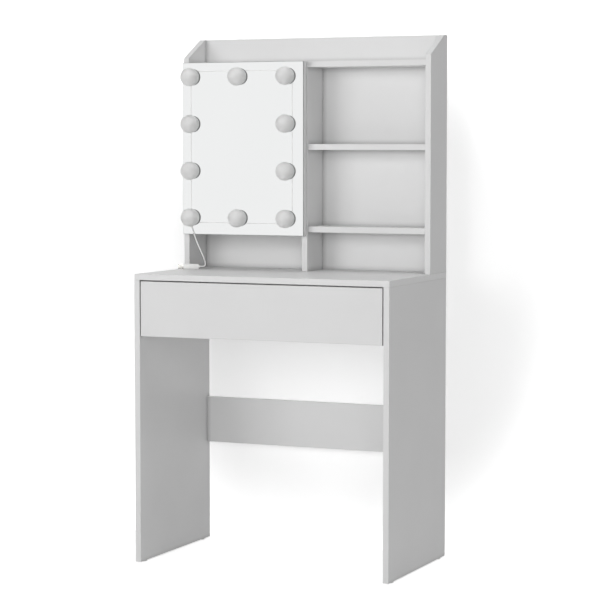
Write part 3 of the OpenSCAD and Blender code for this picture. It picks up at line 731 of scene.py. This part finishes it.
def make_plug(jacket):
    """The moulded plug with its ribbed relief, its tongue and contacts, and its folded shell."""
    end, before = Vector(WIRE_TO_PLUG[-1]), Vector(WIRE_TO_PLUG[-2])
    back = before - end
    turn = Matrix.Translation(end) @ Matrix.Rotation(math.atan2(back.y, back.x), 4, "Z")
    moulding = finish_piece("usb_plug_moulding", plug_moulding(turn), [jacket], "desk",
                            ["usb_plug_body"], smooth=40)
    ivory = shared(moulded_plastic, "PBT tongue", linear("#e9e7e0"), 0.4)
    tongue = finish_piece("usb_plug_tongue", plug_tongue(turn), [ivory], "desk", smooth=40)
    gold = shared(plated_steel, "Gold-plated contact", linear("#d8b56a"), 0.25)
    contacts = finish_piece("usb_plug_contacts", plug_contacts(turn), [gold], "desk", smooth=40)
    return [moulding, tongue, contacts, make_plug_cover()]


def plug_moulding(turn):
    """The plug's body with grip ribs on its two wide sides, and its relief for the wire."""
    ribs, first_rib, rib_pitch = 5, 10 * MM, 3 * MM
    rib_width, rib_reach, rib_lift = 1.4 * MM, 4 * MM, 0.25 * MM
    bm = bmesh.new()
    add_block(bm, (BODY_END, -BODY_WIDTH / 2, -BODY_HEIGHT / 2),
              (BODY_START, BODY_WIDTH / 2, BODY_HEIGHT / 2), radius=1.6 * MM, segments=4)
    for side in (-1, 1):
        wide_face = side * BODY_WIDTH / 2
        for i in range(ribs):
            x = BODY_END + first_rib + i * rib_pitch
            add_block(bm, (x, wide_face - rib_lift, -rib_reach),
                      (x + rib_width, wide_face + rib_lift, rib_reach), radius=0.2 * MM)
    bmesh.ops.transform(bm, matrix=turn, verts=bm.verts)
    relief = bmesh.new()
    lathe(relief, relief_outline(), turn @ Matrix.Rotation(math.pi / 2, 4, "Y"), steps=32)
    join_into(bm, relief)
    return bm


def relief_outline():
    """A sleeve sunk into the body that tapers to the wire's end over three rings."""
    root, tip, sunk = 3.4 * MM, 2.1 * MM, 0.5 * MM
    outline = [(0, BODY_START - sunk), (root, BODY_START - sunk), (root, BODY_START)]
    for i in range(3):
        start = BODY_START + (0.6 + 1.4 * i) * MM
        ring = (3.2 - 0.35 * i) * MM
        groove = ring - 0.5 * MM
        outline += [
            (ring, start), (ring, start + 0.7 * MM),
            (groove, start + 0.85 * MM), (groove, start + 1.25 * MM),
        ]
    return outline + [(tip, 0), (0, 0)]


def plug_tongue(turn):
    """The flat tongue that carries the contacts, sunk a little into the body."""
    sunk = 0.5 * MM
    bm = bmesh.new()
    add_block(bm, (BODY_END - TONGUE_LENGTH, -TONGUE_WIDTH / 2, -TONGUE_HEIGHT / 2),
              (BODY_END + sunk, TONGUE_WIDTH / 2, TONGUE_HEIGHT / 2), radius=0.2 * MM)
    bmesh.ops.transform(bm, matrix=turn, verts=bm.verts)
    return bm


def plug_contacts(turn):
    """Four contact strips side by side on one face of the tongue."""
    pitch, half_width, thickness = 2.3 * MM, 0.5 * MM, 0.15 * MM
    from_body, length = 1 * MM, 8 * MM
    bm = bmesh.new()
    for row in (-1.5, -0.5, 0.5, 1.5):
        z = row * pitch
        add_block(bm, (BODY_END - from_body - length, TONGUE_WIDTH / 2, z - half_width),
                  (BODY_END - from_body, TONGUE_WIDTH / 2 + thickness, z + half_width), radius=0.05 * MM)
    bmesh.ops.transform(bm, matrix=turn, verts=bm.verts)
    return bm


def make_plug_cover():
    """The folded metal shell round the tongue."""
    bm = merged_copy("usb_plug_shell")
    soften(bm, 0.12 * MM, long_edge=2 * MM)
    nickel = bpy.context.scene.vanity_fittings.nickel
    sheet = shared(plated_steel, "Nickel-plated sheet", nickel, 0.25)
    return finish_piece("usb_plug_cover", bm, [sheet], "desk", ["usb_plug_shell"])


class VANITY_OT_table(bpy.types.Operator):
    """Make the table top, the side panels and the rear rails"""

    bl_idname = "vanity.table"
    bl_label = "Table Boards"

    def execute(self, context):
        for node in TABLE_BOARDS:
            make_board(node, "desk", shared(board_materials))
        return {"FINISHED"}


class VANITY_OT_glides(bpy.types.Operator):
    """Make the round glides under the side panels"""

    bl_idname = "vanity.glides"
    bl_label = "Floor Glides"

    def execute(self, context):
        bm = merged_copy("floor_glides")
        floor_level = mesh_box(bm)[0].z
        rim = [
            edge for edge in bm.edges
            if all(abs(v.co.z - floor_level) < IN_PLANE for v in edge.verts)
            and edge.calc_face_angle(0) > SHARP_EDGE
        ]
        round_edges(bm, rim, 0.8 * MM, segments=3)
        polythene = shared(moulded_plastic, "Polythene glide", linear("#e3e3e0"), 0.45)
        finish_piece("floor_glide_set", bm, [polythene], "desk", ["floor_glides"], smooth=CREASE)
        return {"FINISHED"}


class VANITY_OT_drawer(bpy.types.Operator):
    """Make the drawer front and the drawer box"""

    bl_idname = "vanity.drawer"
    bl_label = "Drawer"

    def execute(self, context):
        look = context.scene.vanity_boards
        boards = shared(board_materials)
        make_board("drawer_front", "drawer", boards)
        thin = [melamine("Drawer melamine", look.drawer, look.grain)] + boards[BAND:]
        for node in DRAWER_BOX_BOARDS:
            make_board(node, "drawer", thin)
        return {"FINISHED"}


class VANITY_OT_runners(bpy.types.Operator):
    """Make the three members of each drawer runner"""

    bl_idname = "vanity.runners"
    bl_label = "Drawer Runners"

    def execute(self, context):
        look = context.scene.vanity_fittings
        rolled = shared(plated_steel, "Rolled zinc-plated strip", look.strip, 0.36, ROLLED_ALONG_Y)
        for node, body in RUNNERS.items():
            bm = merged_copy(node)
            soften(bm, look.edge)
            finish_piece(node + "_member", bm, [rolled], body, [node])
        return {"FINISHED"}


class VANITY_OT_hutch(bpy.types.Operator):
    """Make the sides, back, divider and shelves of the hutch"""

    bl_idname = "vanity.hutch"
    bl_label = "Hutch"

    def execute(self, context):
        look = context.scene.vanity_boards
        boards = shared(board_materials)
        # The back board takes a lighter copy of the melamine: painted light for the shade in its bays
        lightened_back = [melamine("Melamine of the back board", look.back, look.grain)] + boards[BAND:]
        for node in HUTCH_BOARDS:
            make_board(node, "desk", lightened_back if node == "hutch_back_board" else boards)
        return {"FINISHED"}


class VANITY_OT_mirror(bpy.types.Operator):
    """Make the door panel and the mirror glass, with the tape between them"""

    bl_idname = "vanity.mirror"
    bl_label = "Mirror Door"

    def execute(self, context):
        look = context.scene.vanity_mirror
        make_board("door_panel", "mirror_door", shared(board_materials))
        materials = [
            silvered_face(look.silver, look.blur), ground_glass_edge(look.edge), backing_paint(look.back),
        ]
        front, ground, back = range(3)
        bm = merged_copy("mirror_glass")
        back_y = mesh_box(bm)[1].y
        soften(bm, look.arris)
        for face in bm.faces:
            at_back = abs(face.calc_center_median().y - back_y) < IN_PLANE
            if abs(face.normal.y) < WHOLLY:
                face.material_index = ground
            else:
                face.material_index = back if at_back else front
        pane = finish_piece("mirror_pane", bm, materials, "mirror_door", ["mirror_glass"])
        left_out = lamps_leave_out()
        left_out.objects.link(pane)
        left_out.collection_objects[0].light_linking.link_state = "EXCLUDE"
        dress_node("mirror_tape", shared(foam, linear("#c6c6c4")))
        return {"FINISHED"}


class VANITY_OT_bulbs(bpy.types.Operator):
    """Make the opal globes, their moulded bases, light boards, pads and wires, which no mirror shows"""

    bl_idname = "vanity.bulbs"
    bl_label = "Bulbs"

    def execute(self, context):
        look = context.scene.vanity_bulbs
        face_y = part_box("mirror_glass")[0][1]
        base_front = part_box("bulb_bases")[0][1]
        pad_low, pad_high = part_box("bulb_pads")
        globe_low, globe_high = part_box("bulb_globes")
        pad = pad_high[1] - pad_low[1]
        top = face_y - base_front
        radius = (face_y - globe_low[1]) / 2
        collar = math.sqrt(radius ** 2 - (radius - top) ** 2)
        globes, collars = bmesh.new(), bmesh.new()
        to_front = Matrix.Rotation(math.pi / 2, 4, "X")
        plain, grey = range(2)
        for x, z in bulb_centres(globe_low, globe_high, radius):
            place = Matrix.Translation((x, face_y, z)) @ to_front
            globe = bmesh.new()
            lathe(globe, globe_outline(radius, top), place)
            join_into(globes, globe)
            base = bmesh.new()
            lathe(base, collar_outline(collar, pad, top, look.rim), place)
            for face in base.faces:
                # Painted shade: side faces in the lower share of each base, next to the mirror, take the
                # dark grey
                depth = face_y - face.calc_center_median().y
                in_painted_shade = depth < pad + (top - pad) * SHADED_RING_SHARE and abs(face.normal.y) < NEARLY
                face.material_index = grey if in_painted_shade else plain
            join_into(collars, base)
        opal = finish_piece("bulb_globe_set", globes, [opal_acrylic(look.globe)], "mirror_door",
                            ["bulb_globes"], smooth=40)
        base_looks = [
            shared(moulded_plastic, "ABS bulb base", look.collar, 0.4),
            shared(moulded_plastic, "Grey ABS ring", look.ring, 0.45),
        ]
        bases = finish_piece("bulb_base_set", collars, base_looks, "mirror_door", ["bulb_bases"],
                             smooth=40)
        dress_node("bulb_wiring", shared(moulded_plastic, "PVC wire", look.wire, 0.45))
        dress_node("bulb_light_boards", shared(moulded_plastic, "Solder mask", linear("#ecebe2"), 0.3))
        dress_node("bulb_pads", shared(foam, linear("#c6c6c4")))
        nodes = [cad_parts[name] for name in ("bulb_wiring", "bulb_pads", "bulb_light_boards")]
        for piece in [opal, bases] + nodes:
            piece.visible_glossy = False
        return {"FINISHED"}


def bulb_centres(low, high, radius):
    """Three bulbs in the first and the last row, two in the rows between."""
    left, right = low[0] + radius, high[0] - radius
    bottom, top = low[2] + radius, high[2] - radius
    rows = 4
    centres = []
    for row in range(rows):
        z = bottom + (top - bottom) * row / (rows - 1)
        columns = (0, 0.5, 1) if row in (0, rows - 1) else (0, 1)
        centres += [(left + (right - left) * c, z) for c in columns]
    return centres


def globe_outline(radius, top):
    """Outer and inner skin of a globe from its crown down to its rim on the base."""
    wall = 1.5 * MM
    rim_angle = math.degrees(math.asin((top - radius) / radius))
    inner = radius - wall
    inner_angle = math.degrees(math.asin((top - radius) / inner))
    outer_skin = arc((0, radius), radius, 90, rim_angle, count=22)
    inner_skin = arc((0, radius), inner, inner_angle, 90, count=16)
    outer_skin[0] = (0, 2 * radius)
    inner_skin[-1] = (0, radius + inner)
    return outer_skin + inner_skin


# How much of the base's height the grey ring of painted shade takes
SHADED_RING_SHARE = 0.6


def collar_outline(radius, pad, top, rim):
    """A drum with rounded rims and a fine parting groove where the ring meets the base."""
    groove = 0.35 * MM
    middle = pad + (top - pad) * SHADED_RING_SHARE
    lower = arc((radius - rim, pad + rim), rim, -90, 0, count=4)
    upper = arc((radius - rim, top - rim), rim, 0, 90, count=4)
    parting = [
        (radius, middle - groove), (radius - groove, middle - groove / 2),
        (radius - groove, middle + groove / 2), (radius, middle + groove),
    ]
    return [(0, pad)] + lower + parting + upper + [(0, top)]


class VANITY_OT_hinges(bpy.types.Operator):
    """Make the leaves and pins of the two hinges, and the catch with its plate"""

    bl_idname = "vanity.hinges"
    bl_label = "Hinges and Catch"

    def execute(self, context):
        look = context.scene.vanity_fittings
        nickel = shared(plated_steel, "Nickel-plated steel", look.nickel, 0.28)
        for node, body in HINGE_LEAVES.items():
            bm = merged_copy(node)
            soften(bm, look.edge, long_edge=6 * MM)
            finish_piece(node + "_plate", bm, [nickel], body, [node])
        for node in HINGE_PINS:
            dress_node(node, nickel)
        plate = merged_copy("catch_plate")
        soften(plate, 2 * look.edge)
        finish_piece("catch_plate_stamping", plate, [nickel], "mirror_door", ["catch_plate"])
        case = merged_copy("magnet_catch")
        soften(case, 0.5 * MM, segments=3, long_edge=4 * MM)
        abs_case = shared(moulded_plastic, "ABS catch case", linear("#e6e6e3"), 0.4)
        finish_piece("magnet_catch_case", case, [abs_case], "desk", ["magnet_catch"])
        low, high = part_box("magnet_catch")
        inset, thickness = 3 * MM, 1.5 * MM
        front, back = low[1] + 0.3 * MM, low[1] + 1.2 * MM
        poles = bmesh.new()
        for z in (low[2] + inset, high[2] - inset - thickness):
            add_block(poles, (low[0] + inset, front, z), (high[0] - inset, back, z + thickness),
                      radius=0.15 * MM)
        zinc = shared(plated_steel, "Zinc-plated steel", look.zinc, 0.38)
        finish_piece("catch_pole_plates", poles, [zinc], "desk")
        return {"FINISHED"}


class VANITY_OT_fittings(bpy.types.Operator):
    """Give the cams, bolts and screws their zinc plating"""

    bl_idname = "vanity.fittings"
    bl_label = "Cams and Screws"

    def execute(self, context):
        zinc = shared(plated_steel, "Zinc-plated steel", context.scene.vanity_fittings.zinc, 0.38)
        for node in ZINC_FITTINGS:
            dress_node(node, zinc)
        return {"FINISHED"}


# ---- Stage ----

# The camera's sensor in millimetres, and how far it sees in metres
SENSOR_WIDTH = 36
VIEW_REACH = 200

# Name, degrees to the right of the front, degrees above the horizon, and watts
LAMPS = [
    ("left_softbox", -28, 9, 39),
    ("centre_softbox", -10, 12, 19.5),
    ("right_softbox", 24, 12, 37),
    ("side_softbox", 80, 60, 22),
    ("overhead_softbox", 0, 88, 44),
    ("rear_softbox", 180, 25, 46),
]
# The point that the softboxes face, how far off they stand and how wide they are
LAMP_AIM = Vector((0, 0, 0.75))
LAMP_AWAY = 4.5
LAMP_SIZE = 2.0

# Strength of the even light from all round
AMBIENT = 0.19
# Floor and wall glow less near the object, where shadows show, and fade to plain white away from it.
# GLOW is the glow near the shadows' centre and far off, FADE the distances between which it rises
SHADOW_CENTRE = (0.05, 0.25, 0.69)
FLOOR_GLOW = (0.62, 1.0)
FLOOR_FADE = (0.6, 3.0)
WALL_GLOW = (0.36, 1.0)
WALL_FADE = (0.50, 0.92)
# Half the width of the floor and of the wall, and how far the wall stands behind the object
FLOOR_REACH = 30
WALL_REACH = 6
WALL_GAP = 0.02


class VANITY_OT_stage(bpy.types.Operator):
    """Set up the floor, the wall, the lamps, the world and the camera"""

    bl_idname = "vanity.stage"
    bl_label = "Stage"

    def execute(self, context):
        scene = context.scene
        look = scene.vanity_stage
        camera = bpy.data.objects.new("camera", bpy.data.cameras.new("camera"))
        context.collection.objects.link(camera)
        camera.location = look.camera_place
        camera.rotation_euler = (math.pi / 2 + look.camera_tilt, 0, look.camera_turn)
        camera.data.sensor_width = SENSOR_WIDTH
        camera.data.lens = look.camera_lens
        camera.data.clip_end = VIEW_REACH
        scene.camera = camera
        scene.view_settings.view_transform = "Standard"
        make_floor_and_wall(look.floor_tone)
        make_world(scene)
        for lamp in LAMPS:
            make_lamp(*lamp)
        return {"FINISHED"}


def make_lamp(name, side, height, power):
    """A square softbox that faces the object from a side and a height given in degrees."""
    turn = Matrix.Rotation(math.radians(side), 3, "Z") @ Matrix.Rotation(math.radians(-height), 3, "X")
    towards = turn @ Vector((0, -1, 0))
    data = bpy.data.lights.new(name, "AREA")
    data.shape = "SQUARE"
    data.size = LAMP_SIZE
    data.energy = power
    lamp = bpy.data.objects.new(name, data)
    bpy.context.collection.objects.link(lamp)
    lamp.location = LAMP_AIM + LAMP_AWAY * towards
    lamp.rotation_euler = towards.to_track_quat("Z", "Y").to_euler()
    lamp.light_linking.receiver_collection = lamps_leave_out()


def lamps_leave_out():
    """The group of pieces in which no softbox shows, so that a mirror shows only the white room."""
    name = "lamps_leave_out"
    return bpy.data.collections.get(name) or bpy.data.collections.new(name)


def seen_directly(tree):
    """1 for rays that show the surroundings themselves: camera, mirror and glass rays."""
    path = add_node(tree, "ShaderNodeLightPath").outputs
    first = add_node(tree, "ShaderNodeMath", {"operation": "MAXIMUM"},
                     {0: path["Is Camera Ray"], 1: path["Is Glossy Ray"]})
    both = add_node(tree, "ShaderNodeMath", {"operation": "MAXIMUM"},
                    {0: first.outputs[0], 1: path["Is Transmission Ray"]})
    return both.outputs[0]


def make_world(scene):
    """Even soft light from all round, which shows as plain white behind the object."""
    world = bpy.data.worlds.new("white_room")
    world.use_nodes = True
    tree = world.node_tree
    tree.nodes.clear()
    room = add_node(tree, "ShaderNodeBackground", None, {"Color": (1, 1, 1, 1), "Strength": AMBIENT})
    shown = add_node(tree, "ShaderNodeBackground", None, {"Color": (1, 1, 1, 1), "Strength": 1.0})
    mix = add_node(tree, "ShaderNodeMixShader", None,
                   {0: seen_directly(tree), 1: room.outputs[0], 2: shown.outputs[0]})
    add_node(tree, "ShaderNodeOutputWorld", None, {"Surface": mix.outputs[0]})
    scene.world = world


def stage_paint(name, tone, glow, fade, one_sided=False):
    """Matt white paint that glows to the camera, so that only shadows show on it.

    Reflections show it plain white, and one-sided paint is clear from behind.
    """
    found = bpy.data.materials.new(name)
    found.use_nodes = True
    tree = found.node_tree
    tree.nodes.clear()
    matt = add_node(tree, "ShaderNodeBsdfDiffuse", None, {"Color": rgba(tone)})
    light = add_node(tree, "ShaderNodeEmission", None, {"Color": (1, 1, 1, 1)})
    place = add_node(tree, "ShaderNodeTexCoord").outputs["Object"]
    away = add_node(tree, "ShaderNodeVectorMath", {"operation": "DISTANCE"}, {0: place, 1: SHADOW_CENTRE})
    ramp = add_node(tree, "ShaderNodeMapRange", {"interpolation_type": "SMOOTHSTEP"}, {
        "Value": away.outputs["Value"], "From Min": fade[0], "From Max": fade[1],
        "To Min": glow[0], "To Max": glow[1],
    })
    strength = add_node(tree, "ShaderNodeMath", {"operation": "MULTIPLY"},
                        {0: seen_directly(tree), 1: ramp.outputs["Result"]})
    tree.links.new(strength.outputs[0], light.inputs["Strength"])
    glowing = add_node(tree, "ShaderNodeAddShader", None, {0: matt.outputs[0], 1: light.outputs[0]})
    white = add_node(tree, "ShaderNodeEmission", None, {"Color": (1, 1, 1, 1)})
    path = add_node(tree, "ShaderNodeLightPath").outputs
    surface = add_node(tree, "ShaderNodeMixShader", None,
                       {0: path["Is Glossy Ray"], 1: glowing.outputs[0], 2: white.outputs[0]})
    if one_sided:
        clear = add_node(tree, "ShaderNodeBsdfTransparent")
        behind = add_node(tree, "ShaderNodeNewGeometry").outputs["Backfacing"]
        surface = add_node(tree, "ShaderNodeMixShader", None,
                           {0: behind, 1: surface.outputs[0], 2: clear.outputs[0]})
    add_node(tree, "ShaderNodeOutputMaterial", None, {"Surface": surface.outputs[0]})
    return found


def make_floor_and_wall(tone):
    """A wide pale floor, and a wall close behind the table that shows from the front only."""
    back_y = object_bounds()[1][1]
    floor_mesh = bmesh.new()
    bmesh.ops.create_grid(floor_mesh, x_segments=1, y_segments=1, size=FLOOR_REACH)
    floor_paint = stage_paint("Floor paint", tone, FLOOR_GLOW, FLOOR_FADE)
    floor = finish_piece("floor", floor_mesh, [floor_paint], None)
    wall_mesh = bmesh.new()
    bmesh.ops.create_grid(wall_mesh, x_segments=1, y_segments=1, size=WALL_REACH)
    centre = Matrix.Translation((0, back_y + WALL_GAP, WALL_REACH))
    upright = centre @ Matrix.Rotation(math.pi / 2, 4, "X")
    bmesh.ops.transform(wall_mesh, matrix=upright, verts=wall_mesh.verts)
    wall_paint = stage_paint("Wall paint", tone, WALL_GLOW, WALL_FADE, one_sided=True)
    wall = finish_piece("wall", wall_mesh, [wall_paint], None)
    wall.visible_diffuse = False
    wall.visible_shadow = False
    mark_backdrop(floor, wall)


class VANITY_PT_pieces(bpy.types.Panel):
    """Lists the pieces of the vanity table"""

    bl_label = "Vanity Table"
    bl_space_type = "VIEW_3D"
    bl_region_type = "UI"
    bl_category = "Vanity"

    def draw(self, context):
        for operator in OPERATORS:
            self.layout.operator(operator.bl_idname)
        for group, kind in PROPERTY_GROUPS.items():
            box = self.layout.box()
            for name in kind.__annotations__:
                box.prop(getattr(context.scene, group), name)


OPERATORS = (
    VANITY_OT_stage, VANITY_OT_feed_wire, VANITY_OT_table, VANITY_OT_glides, VANITY_OT_drawer,
    VANITY_OT_runners, VANITY_OT_hutch, VANITY_OT_mirror, VANITY_OT_bulbs, VANITY_OT_hinges,
    VANITY_OT_fittings,
)
CLASSES = tuple(PROPERTY_GROUPS.values()) + OPERATORS + (VANITY_PT_pieces,)


def register():
    """Registers the classes and hangs each property group on the scene."""
    for item in CLASSES:
        bpy.utils.register_class(item)
    for name, kind in PROPERTY_GROUPS.items():
        setattr(bpy.types.Scene, name, bpy.props.PointerProperty(type=kind))


def unregister():
    """Takes the property groups off the scene and unregisters the classes."""
    for name in PROPERTY_GROUPS:
        delattr(bpy.types.Scene, name)
    for item in reversed(CLASSES):
        bpy.utils.unregister_class(item)


def main():
    """Builds the stage and every piece in order."""
    register()
    bpy.ops.vanity.stage()
    bpy.ops.vanity.feed_wire()
    bpy.ops.vanity.table()
    bpy.ops.vanity.glides()
    bpy.ops.vanity.drawer()
    bpy.ops.vanity.runners()
    bpy.ops.vanity.hutch()
    bpy.ops.vanity.mirror()
    bpy.ops.vanity.bulbs()
    bpy.ops.vanity.hinges()
    bpy.ops.vanity.fittings()


if __name__ == "__main__":
    main()
